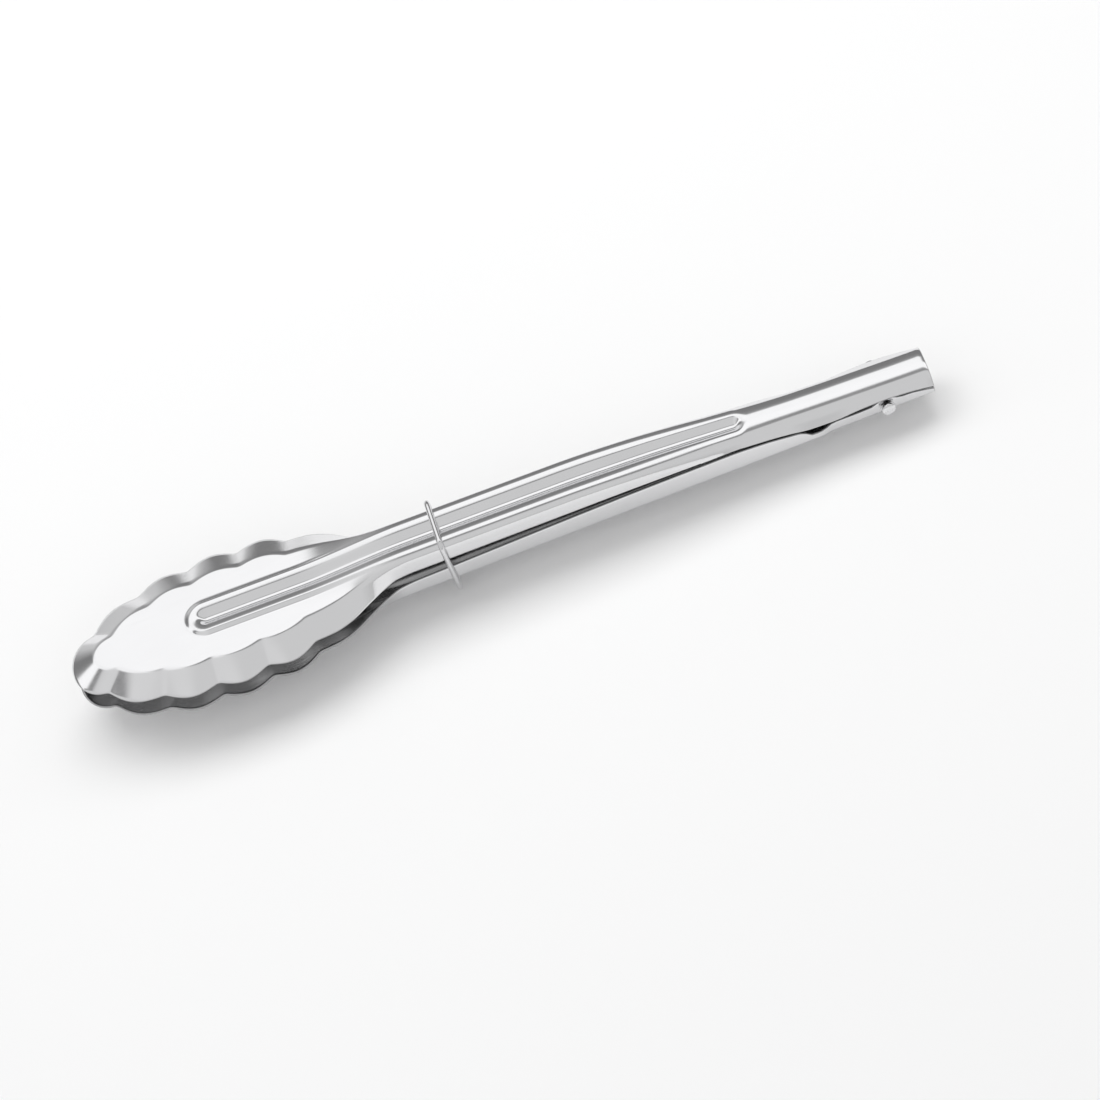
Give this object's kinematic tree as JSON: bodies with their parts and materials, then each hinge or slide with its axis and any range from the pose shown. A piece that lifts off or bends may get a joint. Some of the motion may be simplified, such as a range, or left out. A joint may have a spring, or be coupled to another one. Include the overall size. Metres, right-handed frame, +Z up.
{
  "type": "kitchen tongs",
  "caption": "Long utility tongs with scalloped dish heads, a riveted pin, a torsion spring and a sliding wire locking ring.",
  "frame": {"origin": "the point on the outer face of the lower arm's web straight below the hinge pin", "axes": "+X along the handle towards its rear end, so the heads are towards -X; +Y along the pin; +Z up, square to the lower arm's web"},
  "size_m": [0.3001, 0.054, 0.0282],
  "materials": {
    "arm_steel": "polished",
    "pin_steel": "satin",
    "spring_steel": "drawn wire",
    "ring_steel": "polished wire"
  },
  "bodies": {
    "lower": {"lower_arm": "arm_steel", "pivot_pin": "pin_steel", "torsion_spring": "spring_steel"},
    "upper": {"upper_arm": "arm_steel"},
    "ring": {"locking_ring": "ring_steel"}
  },
  "joints": [
    {"name": "arm_pivot", "type": "hinge", "parent": "lower", "child": "upper", "pos_m": [0, 0, 0.004], "axis": [0, 1, 0], "range_deg": [-0.6, 7.5], "stiffness_Nm_per_rad": 0.25, "springref_deg": 20.05, "deforming": ["torsion_spring"]},
    {"name": "ring_slide", "type": "slide", "parent": "upper", "child": "ring", "axis": [0.999, 0, -0.0439], "range_m": [-0.012, 0.135]}
  ],
  "couplings": [
    {"joint": "ring_slide", "follows": "arm_pivot", "m_per_rad": 1.015}
  ]
}
